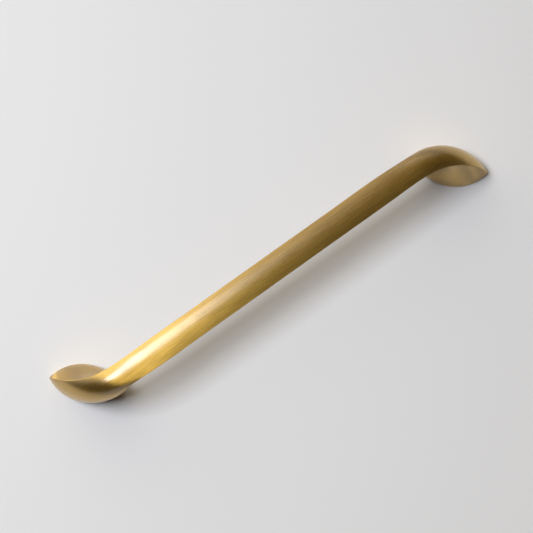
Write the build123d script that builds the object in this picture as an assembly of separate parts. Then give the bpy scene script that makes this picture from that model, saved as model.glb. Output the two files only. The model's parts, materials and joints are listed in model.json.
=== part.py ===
from build123d import *
import os
from math import cos, radians, sin, sqrt, tan

# Appliance pull, cast in one piece: a slim bar of lens section whose ends twist outwards
# and down into two lens-shaped feet, each tapped for one screw from behind the door.
# Millimetres and degrees. Origin midway between the screws on the mounting face,
# +X along the screw line, +Z out of the door.

# Screw line
screw_spacing = 304.8
bar_turn = 5.0

# Bar
bar_width = 19.0
bar_front_crown = 2.6
bar_back_crown = 4.8
edge_height = 44.0
straight_half = 96.2
bar_edge_radius = 0.5

# Foot
foot_length = 52.4
foot_width = 27.1
foot_turn = 44.0
foot_edge_radius = 1.1

# Outer edge of a leg, from the foot's outer tip up to the bar
outer_rise = 20.2
outer_lean = 7.7
outer_heading = 50.9
shoulder_back = 53.8
shoulder_out = 11.6
shoulder_height = 40.7
outer_reach = 21.8
outer_dip = 1.9

# Inner edge of a leg, from the foot's inner tip up to the bar
inner_rise = 15.7
inner_lean = 21.9
inner_heading = 27.4
calf_back = 30.3
calf_out = 13.2
calf_height = 15.4
heel_back = 34.3
heel_out = 7.5
heel_pull = 3.2
inner_reach = 3.7

# How the sections turn from lying flat in the foot to standing across the bar
turn_power = 2.2
crown_delay = 1.23
crown_share = 0.9
leg_sections = 12
bar_sections = 5

# Tapped screw hole, quarter-inch thread, cored to its full diameter
thread_radius = 3.175
thread_depth = 12.7
drill_point_angle = 118.0
mouth_chamfer = 0.8


def lean_from_door(rise, lean, heading):
    """A step of the given length that leaves the door, leaning towards a heading."""
    flat = rise * sin(radians(lean))
    return Vector(
        flat * cos(radians(heading)),
        -flat * sin(radians(heading)),
        rise * cos(radians(lean)),
    )


def foot_centre():
    """Centre of the left foot, seen along the bar's own line."""
    half = screw_spacing / 2
    return Vector(-half * cos(radians(bar_turn)), half * sin(radians(bar_turn)), 0)


def leg_rails():
    """The two sharp edges of the left leg, as curves from the foot to the bar."""
    along_foot = Vector(cos(radians(foot_turn)), -sin(radians(foot_turn)), 0)
    outer_tip = foot_centre() - along_foot * (foot_length / 2)
    inner_tip = foot_centre() + along_foot * (foot_length / 2)
    half = bar_width / 2
    outer = Bezier(
        outer_tip,
        outer_tip + lean_from_door(outer_rise, outer_lean, outer_heading),
        Vector(-straight_half - shoulder_back, shoulder_out, shoulder_height),
        Vector(-straight_half - 2 * outer_reach, half - outer_dip, edge_height),
        Vector(-straight_half - outer_reach, half, edge_height),
        Vector(-straight_half, half, edge_height),
    )
    inner = Bezier(
        inner_tip,
        inner_tip + lean_from_door(inner_rise, inner_lean, inner_heading),
        Vector(-straight_half - calf_back, -calf_out, calf_height),
        Vector(-straight_half - heel_back, -heel_out, edge_height),
        Vector(-straight_half - 2 * inner_reach, -half, edge_height),
        Vector(-straight_half - inner_reach, -half, edge_height),
        Vector(-straight_half, -half, edge_height),
        weights=[1, 1, 1, heel_pull, 1, 1, 1],
    )
    return outer, inner


def lens(first_edge, second_edge, facing, front_crown, back_crown, edge_radius):
    """A lens between two edge points: a front arc, a back arc and two small tip arcs."""
    chord = second_edge - first_edge
    across = chord.normalized()
    front = across.cross(facing).normalized()
    place = Plane((first_edge + second_edge) * 0.5, x_dir=across, z_dir=across.cross(front))
    half = chord.length / 2
    tip = half - edge_radius

    def arc_end(crown):
        radius = (tip**2 + crown**2 - edge_radius**2) / (2 * (crown - edge_radius))
        reach = radius / (radius - edge_radius)
        return tip * reach, (radius - crown) * (reach - 1)

    front_x, front_y = arc_end(front_crown)
    back_x, back_y = arc_end(back_crown)
    outline = Wire(
        [
            ThreePointArc((-front_x, front_y), (0, front_crown), (front_x, front_y)),
            ThreePointArc((front_x, front_y), (half, 0), (back_x, -back_y)),
            ThreePointArc((back_x, -back_y), (0, -back_crown), (-back_x, -back_y)),
            ThreePointArc((-back_x, -back_y), (-half, 0), (-front_x, front_y)),
        ]
    )
    return place.location * outline


def ease(share):
    """Zero to one with a soft start and a soft end."""
    return share**3 * (share * (6 * share - 15) + 10)


def half_turn(point):
    return Vector(-point.X, -point.Y, point.Z)


def leg_lenses():
    """Sections of the left leg, foot first, and of the right leg, bar first."""
    outer, inner = leg_rails()
    left = []
    right = []
    for step in range(leg_sections + 1):
        share = step / leg_sections
        outer_point = outer.position_at(share, position_mode=PositionMode.PARAMETER)
        inner_point = inner.position_at(share, position_mode=PositionMode.PARAMETER)
        turn = radians(90) * (1 - (1 - share) ** turn_power)
        facing = Vector(sin(turn), 0, cos(turn))
        blend = ease(min(1, share / crown_share) ** crown_delay)
        front_crown = foot_width / 2 + (bar_front_crown - foot_width / 2) * blend
        back_crown = foot_width / 2 + (bar_back_crown - foot_width / 2) * blend
        edge_radius = bar_edge_radius + (foot_edge_radius - bar_edge_radius) * (1 - share) ** 3
        left.append(lens(outer_point, inner_point, facing, front_crown, back_crown, edge_radius))
        right.insert(
            0,
            lens(
                half_turn(inner_point),
                half_turn(outer_point),
                Vector(sin(turn), 0, -cos(turn)),
                front_crown,
                back_crown,
                edge_radius,
            ),
        )
    return left, right


def bar_lenses():
    """Equal sections along the straight bar, without its two ends."""
    half = bar_width / 2
    sections = []
    for step in range(1, bar_sections + 1):
        x = -straight_half + 2 * straight_half * step / (bar_sections + 1)
        sections.append(
            lens(
                Vector(x, half, edge_height),
                Vector(x, -half, edge_height),
                Vector(1, 0, 0),
                bar_front_crown,
                bar_back_crown,
                bar_edge_radius,
            )
        )
    return sections


def screw_hole():
    """Blind hole with a drilled point and a broken mouth, standing on the door face."""
    point_height = thread_radius / tan(radians(drill_point_angle / 2))
    profile = Polyline(
        (0, 0),
        (thread_radius + mouth_chamfer, 0),
        (thread_radius, mouth_chamfer),
        (thread_radius, thread_depth),
        (0, thread_depth + point_height),
        close=True,
    )
    return revolve(Plane.XZ * make_face(profile), Axis.Z)


def make_pull():
    left, right = leg_lenses()
    body = Solid.make_loft(left + bar_lenses() + right)
    body = Rot(Z=bar_turn) * body
    for side in (-1, 1):
        body -= Pos(side * screw_spacing / 2, 0, 0) * screw_hole()
    return body


os.makedirs("parts", exist_ok=True)
pull = make_pull()
export_step(pull, "parts/pull.step")
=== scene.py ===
import json
from math import cos, pi, radians, sin, tan

import bmesh
import bpy
from mathutils import Matrix, Vector


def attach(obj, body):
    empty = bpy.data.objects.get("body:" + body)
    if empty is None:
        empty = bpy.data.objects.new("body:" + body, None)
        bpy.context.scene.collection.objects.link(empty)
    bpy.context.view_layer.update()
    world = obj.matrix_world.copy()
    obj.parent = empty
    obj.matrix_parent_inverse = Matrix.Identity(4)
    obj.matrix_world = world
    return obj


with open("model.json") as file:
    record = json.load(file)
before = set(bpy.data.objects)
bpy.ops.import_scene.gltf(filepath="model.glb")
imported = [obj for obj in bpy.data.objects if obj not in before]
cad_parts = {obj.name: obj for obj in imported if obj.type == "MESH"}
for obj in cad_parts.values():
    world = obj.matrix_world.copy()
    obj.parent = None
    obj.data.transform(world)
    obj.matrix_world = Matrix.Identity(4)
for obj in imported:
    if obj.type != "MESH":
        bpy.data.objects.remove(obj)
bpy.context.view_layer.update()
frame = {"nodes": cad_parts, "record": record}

# Metres throughout, in the frame of the part: the screw line is X and the door's face is Z = 0.
# The picture's own axes on that face: the screw line rises to the right in it.
PICTURE_TURN = radians(30.45)
PICTURE_RIGHT = Vector((cos(PICTURE_TURN), -sin(PICTURE_TURN), 0))
PICTURE_UP = Vector((sin(PICTURE_TURN), cos(PICTURE_TURN), 0))
OUT = Vector((0, 0, 1))

# The bar's own axes: it crosses the screw line at a small angle
BAR_TURN = radians(5)
ALONG_BAR = Vector((cos(BAR_TURN), sin(BAR_TURN), 0))
ACROSS_BAR = Vector((-sin(BAR_TURN), cos(BAR_TURN), 0))


def in_picture(right, up, out):
    """A point given along the picture's axes, in metres from the origin."""
    return PICTURE_RIGHT * right + PICTURE_UP * up + OUT * out


# Camera: lens and sensor in millimetres. The swing is how far it leans off a square view,
# as a share of its distance.
CAMERA_DISTANCE = 0.8
CAMERA_LENS = 75.2
CAMERA_SENSOR = 36
CAMERA_AIM = in_picture(-0.00197, 0.00619, 0)
CAMERA_SWING = in_picture(0.0127, -0.0651, 0)

# Window: the one lamp, a soft rectangle out to the picture's left
WINDOW_PLACE = ALONG_BAR * -0.51 + ACROSS_BAR * 0.66 + OUT * 1.65
WINDOW_ALONG_BAR = 0.56
WINDOW_ACROSS_BAR = 0.94
WINDOW_POWER = 30.6
WINDOW_COLOUR = (0.864, 0.894, 0.968)

# Room: dim and warm, lighter towards the picture's top. The glow starts and ends at these
# cosines of the angle from the lit side, and an end past 1 keeps it below full strength.
LIT_TURN = radians(118)
LIT_SIDE = in_picture(cos(LIT_TURN), sin(LIT_TURN), 0)
GLOW_START = 0.25
GLOW_END = 1.2
ROOM_DARK = (0.042, 0.030, 0.018)
ROOM_LIT = (2.21, 2.01, 1.60)

# Wall: so wide that low views don't reach its edge
WALL_SIZE = 24.0
WALL_COLOUR = (0.785, 0.785, 0.785)
WALL_ROUGHNESS = 0.8
WALL_SHINE = 0.1

# Noise: the range that it mostly keeps to, out of 0 to 1, and how much finer detail it carries
NOISE_LOW = 0.3
NOISE_HIGH = 0.7
NOISE_ROUGHNESS = 0.6
SOME_DETAIL = 2
MORE_DETAIL = 3

# A colour mix names its sockets like a number mix does, so they are picked by their place
MIX_FIRST_COLOUR = 6
MIX_SECOND_COLOUR = 7
MIX_COLOUR_RESULT = 2

# Zones of the finish: heights where matte feet turn into the brushed bar, and distances from
# the middle where the bar's shoulders get duller
BRUSHED_FROM = 0.026
BRUSHED_TO = 0.044
SHOULDER_FROM = 0.075
SHOULDER_TO = 0.120

# Satin brass under a clear coat
BRASS_COLOUR = (0.528, 0.332, 0.067)
EDGE_TINT = (1.0, 0.90, 0.70)
BAR_ROUGHNESS = 0.49
SHOULDER_ROUGHNESS = 0.59
FOOT_ROUGHNESS = 0.43
ANISOTROPY = 0.945
COAT_WEIGHT = 0.57
COAT_IOR = 2.0
COAT_ROUGHNESS = 0.263

# Its marks: streaks, speckles and scratches on the bar, speckles and pits on the feet
STREAK_CONTRAST = 0.25
STREAK_SIZE = (0.016, 0.0008, 0.0008)
SPECKLE_SIZE = (0.0014, 0.0006, 0.0006)
SPECKLE_SHARE = 0.35
FOOT_SPECKLE_RANGE = (0.15, 0.85)
SCRATCH_SIZE = (0.006, 0.00014, 0.00014)
SCRATCH_DEPTH = 0.000004
PIT_SIZE = (0.0004, 0.0004, 0.0004)
PIT_DEPTH = 0.000006

# Bare brass of the threads, with turning marks
CUT_COLOURS = ((0.62, 0.42, 0.13), (0.80, 0.58, 0.22))
CUT_ROUGHNESS = 0.28
TURNING_SIZE = (0.002, 0.002, 0.00006)
TURNING_DEPTH = 0.000004

# Thread in the two screw holes: a helical ridge whose flanks stand 60 degrees apart.
# Its height and its crest are the usual shares of the pitch, and its foot is sunk in the wall.
SCREW_HOLES = next(mount for mount in frame["record"]["mounts"] if mount["name"] == "screw_holes")
MM_IN_A_METRE = 1000
HALF_SPACING = SCREW_HOLES["dims"]["spacing_x_mm"] / MM_IN_A_METRE / 2
HOLE_RADIUS = SCREW_HOLES["dims"]["hole_r_mm"] / MM_IN_A_METRE
THREAD_PITCH = 0.00127
THREAD_START = 0.0014
THREAD_END = 0.0119
THREAD_TURNS = (THREAD_END - THREAD_START) / THREAD_PITCH
RIDGE_SHARE = 0.541
RIDGE_HEIGHT = RIDGE_SHARE * THREAD_PITCH
RIDGE_CREST = THREAD_PITCH / 4
RIDGE_SUNK = 0.00005
FLANK_ANGLE = radians(60 / 2)
FADE_TURNS = 0.4
STEPS_PER_TURN = 60


def look_along(direction, up):
    """Rotation of an object whose -Z looks along a direction."""
    back = -direction.normalized()
    right = up.cross(back).normalized()
    true_up = back.cross(right)
    return Matrix((right, true_up, back)).transposed().to_4x4()


def make_camera():
    data = bpy.data.cameras.new("camera")
    data.lens = CAMERA_LENS
    data.sensor_width = CAMERA_SENSOR
    camera = bpy.data.objects.new("camera", data)
    away = (CAMERA_SWING + OUT * (1 - CAMERA_SWING.length_squared) ** 0.5).normalized()
    place = CAMERA_AIM + away * CAMERA_DISTANCE
    camera.matrix_world = Matrix.Translation(place) @ look_along(-away, PICTURE_UP)
    bpy.context.collection.objects.link(camera)
    bpy.context.scene.camera = camera


def new_material(name):
    material = bpy.data.materials.new(name)
    material.use_nodes = True
    return material, material.node_tree.nodes, material.node_tree.links


def add_node(nodes, kind, label, **settings):
    """A shader node with its properties set, named for what it does."""
    node = nodes.new(kind)
    node.label = label
    for key, value in settings.items():
        setattr(node, key, value)
    return node


def set_inputs(node, **values):
    """Sets a node's inputs by name, with underscores for the spaces."""
    for key, value in values.items():
        node.inputs[key.replace("_", " ")].default_value = value


def plug(links, value, socket):
    """Gives an input a plain number, or links another node's output to it."""
    if isinstance(value, (int, float)):
        socket.default_value = value
    else:
        links.new(value, socket)


def add_ramp(nodes, links, label, value, start, end):
    """A soft step from 0 to 1, while another node's output goes from start to end."""
    ramp = add_node(nodes, "ShaderNodeMapRange", label, interpolation_type="SMOOTHSTEP")
    set_inputs(ramp, From_Min=start, From_Max=end)
    links.new(value, ramp.inputs["Value"])
    return ramp.outputs["Result"]


def add_mix(nodes, links, label, factor, first, second):
    """A number mixed from two, each a plain number or another node's output."""
    mix = add_node(nodes, "ShaderNodeMix", label, data_type="FLOAT")
    plug(links, factor, mix.inputs["Factor"])
    plug(links, first, mix.inputs["A"])
    plug(links, second, mix.inputs["B"])
    return mix.outputs["Result"]


def add_colour_mix(nodes, links, label, factor, first, second):
    """A colour mixed from two plain ones by another node's output."""
    mix = add_node(nodes, "ShaderNodeMix", label, data_type="RGBA")
    links.new(factor, mix.inputs["Factor"])
    mix.inputs[MIX_FIRST_COLOUR].default_value = (*first, 1)
    mix.inputs[MIX_SECOND_COLOUR].default_value = (*second, 1)
    return mix.outputs[MIX_COLOUR_RESULT]


def add_place(nodes):
    """Where on the pull a point is, in the frame of the part."""
    return add_node(nodes, "ShaderNodeTexCoord", "place on the pull").outputs["Object"]


def add_noise(nodes, links, place, label, size, detail):
    """Noise from 0 to 1, with a cell of the given size along the bar, across it and out of the door."""
    scale = add_node(nodes, "ShaderNodeMapping", label + " size", vector_type="TEXTURE")
    set_inputs(scale, Rotation=(0, 0, BAR_TURN), Scale=size)
    links.new(place, scale.inputs["Vector"])
    noise = add_node(nodes, "ShaderNodeTexNoise", label)
    set_inputs(noise, Scale=1.0, Detail=detail, Roughness=NOISE_ROUGHNESS)
    links.new(scale.outputs["Vector"], noise.inputs["Vector"])
    spread = add_node(nodes, "ShaderNodeMapRange", label + " spread")
    set_inputs(spread, From_Min=NOISE_LOW, From_Max=NOISE_HIGH)
    links.new(noise.outputs["Fac"], spread.inputs["Value"])
    return spread.outputs["Result"]


def add_bump(nodes, links, label, relief, depth):
    """The surface's normal over a relief of the given depth."""
    bump = add_node(nodes, "ShaderNodeBump", label)
    links.new(relief, bump.inputs["Height"])
    plug(links, depth, bump.inputs["Distance"])
    return bump.outputs["Normal"]


def add_zones(nodes, links, place):
    """Two shares from 0 to 1: how brushed the finish is, and how much of a shoulder."""
    axes = add_node(nodes, "ShaderNodeSeparateXYZ", "place along each axis")
    links.new(place, axes.inputs["Vector"])
    sideways = add_node(nodes, "ShaderNodeMath", "distance from the middle", operation="ABSOLUTE")
    links.new(axes.outputs["X"], sideways.inputs[0])
    distance = sideways.outputs["Value"]
    brushed = add_ramp(nodes, links, "brushed share", axes.outputs["Z"], BRUSHED_FROM, BRUSHED_TO)
    shoulder = add_ramp(nodes, links, "shoulder share", distance, SHOULDER_FROM, SHOULDER_TO)
    return brushed, shoulder


def add_brass_colour(nodes, links, place, brushed):
    """Brass with lighter and darker streaks along the bar and speckles on the feet."""
    streaks = add_noise(nodes, links, place, "streaks", STREAK_SIZE, MORE_DETAIL)
    speckles = add_noise(nodes, links, place, "speckles", SPECKLE_SIZE, SOME_DETAIL)
    bar_marks = add_mix(nodes, links, "bar marks", SPECKLE_SHARE, streaks, speckles)
    foot_marks = add_mix(nodes, links, "foot marks", speckles, *FOOT_SPECKLE_RANGE)
    marks = add_mix(nodes, links, "marks", brushed, foot_marks, bar_marks)
    dark = [part * (1 - STREAK_CONTRAST) for part in BRASS_COLOUR]
    light = [part * (1 + STREAK_CONTRAST) for part in BRASS_COLOUR]
    return add_colour_mix(nodes, links, "streaked colour", marks, dark, light)


def add_brass_roughness(nodes, links, brushed, shoulder):
    bar = add_mix(nodes, links, "duller shoulders", shoulder, BAR_ROUGHNESS, SHOULDER_ROUGHNESS)
    return add_mix(nodes, links, "smoother feet", brushed, FOOT_ROUGHNESS, bar)


def add_brass_relief(nodes, links, place, brushed):
    """Fine scratches along the bar and fine pits on the feet."""
    scratches = add_noise(nodes, links, place, "scratches", SCRATCH_SIZE, SOME_DETAIL)
    pits = add_noise(nodes, links, place, "pits", PIT_SIZE, MORE_DETAIL)
    relief = add_mix(nodes, links, "relief", brushed, pits, scratches)
    depth = add_mix(nodes, links, "relief depth", brushed, PIT_DEPTH, SCRATCH_DEPTH)
    return add_bump(nodes, links, "grain relief", relief, depth)


def make_brass():
    """Satin brass, brushed along the bar, so that its highlight spreads across it."""
    material, nodes, links = new_material("satin_brass")
    shader = nodes["Principled BSDF"]
    set_inputs(
        shader,
        Metallic=1,
        Anisotropic=ANISOTROPY,
        Specular_Tint=(*EDGE_TINT, 1),
        Coat_Weight=COAT_WEIGHT,
        Coat_IOR=COAT_IOR,
        Coat_Roughness=COAT_ROUGHNESS,
    )
    tangent = add_node(nodes, "ShaderNodeCombineXYZ", "across the grain")
    set_inputs(tangent, X=ACROSS_BAR.x, Y=ACROSS_BAR.y)
    links.new(tangent.outputs["Vector"], shader.inputs["Tangent"])

    place = add_place(nodes)
    brushed, shoulder = add_zones(nodes, links, place)
    colour = add_brass_colour(nodes, links, place, brushed)
    roughness = add_brass_roughness(nodes, links, brushed, shoulder)
    normal = add_brass_relief(nodes, links, place, brushed)
    links.new(colour, shader.inputs["Base Color"])
    links.new(roughness, shader.inputs["Roughness"])
    links.new(normal, shader.inputs["Normal"])
    links.new(normal, shader.inputs["Coat Normal"])
    return material


def make_cut_brass():
    """Bare brass with fine turning marks, as the tap leaves it."""
    material, nodes, links = new_material("cut_brass")
    shader = nodes["Principled BSDF"]
    set_inputs(shader, Metallic=1, Roughness=CUT_ROUGHNESS)
    marks = add_noise(nodes, links, add_place(nodes), "turning marks", TURNING_SIZE, SOME_DETAIL)
    colour = add_colour_mix(nodes, links, "marked colour", marks, *CUT_COLOURS)
    normal = add_bump(nodes, links, "mark relief", marks, TURNING_DEPTH)
    links.new(colour, shader.inputs["Base Color"])
    links.new(normal, shader.inputs["Normal"])
    return material


def ridge_section(height):
    """The ridge's outline as radius and offset along the hole, for a height above the wall."""
    half_base = RIDGE_CREST / 2 + (height + RIDGE_SUNK) * tan(FLANK_ANGLE)
    return (
        (HOLE_RADIUS + RIDGE_SUNK, -half_base),
        (HOLE_RADIUS - height, -RIDGE_CREST / 2),
        (HOLE_RADIUS - height, RIDGE_CREST / 2),
        (HOLE_RADIUS + RIDGE_SUNK, half_base),
    )


def ridge_ring(centre_x, turn):
    """The ridge's outline in space, so many turns along the thread."""
    fade = min(1, turn / FADE_TURNS, (THREAD_TURNS - turn) / FADE_TURNS)
    angle = 2 * pi * turn
    middle = THREAD_START + THREAD_PITCH * turn
    return [
        (centre_x + radius * cos(angle), radius * sin(angle), middle + offset)
        for radius, offset in ridge_section(RIDGE_HEIGHT * fade)
    ]


def make_thread(name, centre_x, material):
    """Right-handed thread ridge in a screw hole, fading out at both ends."""
    shape = bmesh.new()
    steps = round(THREAD_TURNS * STEPS_PER_TURN)
    rings = []
    for step in range(steps + 1):
        corners = ridge_ring(centre_x, THREAD_TURNS * step / steps)
        rings.append([shape.verts.new(corner) for corner in corners])
    for ring, following in zip(rings, rings[1:]):
        for corner in range(len(ring)):
            beside = (corner + 1) % len(ring)
            shape.faces.new((ring[corner], ring[beside], following[beside], following[corner]))
    shape.faces.new(rings[0])
    shape.faces.new(reversed(rings[-1]))
    bmesh.ops.recalc_face_normals(shape, faces=shape.faces)
    mesh = bpy.data.meshes.new(name)
    shape.to_mesh(mesh)
    shape.free()
    mesh.materials.append(material)
    thread = bpy.data.objects.new(name, mesh)
    bpy.context.collection.objects.link(thread)
    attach(thread, "root")


def make_wall():
    bpy.ops.mesh.primitive_plane_add(size=WALL_SIZE, location=(0, 0, 0))
    wall = bpy.context.object
    wall.name = "wall"
    paint, nodes, _ = new_material("wall_paint")
    set_inputs(
        nodes["Principled BSDF"],
        Base_Color=(*WALL_COLOUR, 1),
        Roughness=WALL_ROUGHNESS,
        Specular_IOR_Level=WALL_SHINE,
    )
    wall.data.materials.append(paint)


def make_window():
    data = bpy.data.lights.new("window", "AREA")
    data.shape = "RECTANGLE"
    data.size = WINDOW_ALONG_BAR
    data.size_y = WINDOW_ACROSS_BAR
    data.energy = WINDOW_POWER
    data.color = WINDOW_COLOUR
    window = bpy.data.objects.new("window", data)
    window.matrix_world = Matrix.Translation(WINDOW_PLACE) @ look_along(-WINDOW_PLACE, ACROSS_BAR)
    bpy.context.collection.objects.link(window)


def make_room():
    world = bpy.data.worlds.new("room")
    world.use_nodes = True
    bpy.context.scene.world = world
    nodes = world.node_tree.nodes
    links = world.node_tree.links
    direction = add_node(nodes, "ShaderNodeTexCoord", "direction")
    side = add_node(nodes, "ShaderNodeVectorMath", "towards the lit side", operation="DOT_PRODUCT")
    side.inputs[1].default_value = LIT_SIDE
    links.new(direction.outputs["Generated"], side.inputs[0])
    glow = add_ramp(nodes, links, "glow", side.outputs["Value"], GLOW_START, GLOW_END)
    colour = add_colour_mix(nodes, links, "room brightness", glow, ROOM_DARK, ROOM_LIT)
    links.new(colour, nodes["Background"].inputs["Color"])


make_camera()
brass = make_brass()
pull = frame["nodes"]["pull"]
for material_slot in pull.material_slots:
    material_slot.material = brass
cut_brass = make_cut_brass()
make_thread("left_thread", -HALF_SPACING, cut_brass)
make_thread("right_thread", HALF_SPACING, cut_brass)
make_wall()
make_window()
make_room()
bpy.context.scene.view_settings.view_transform = "Standard"
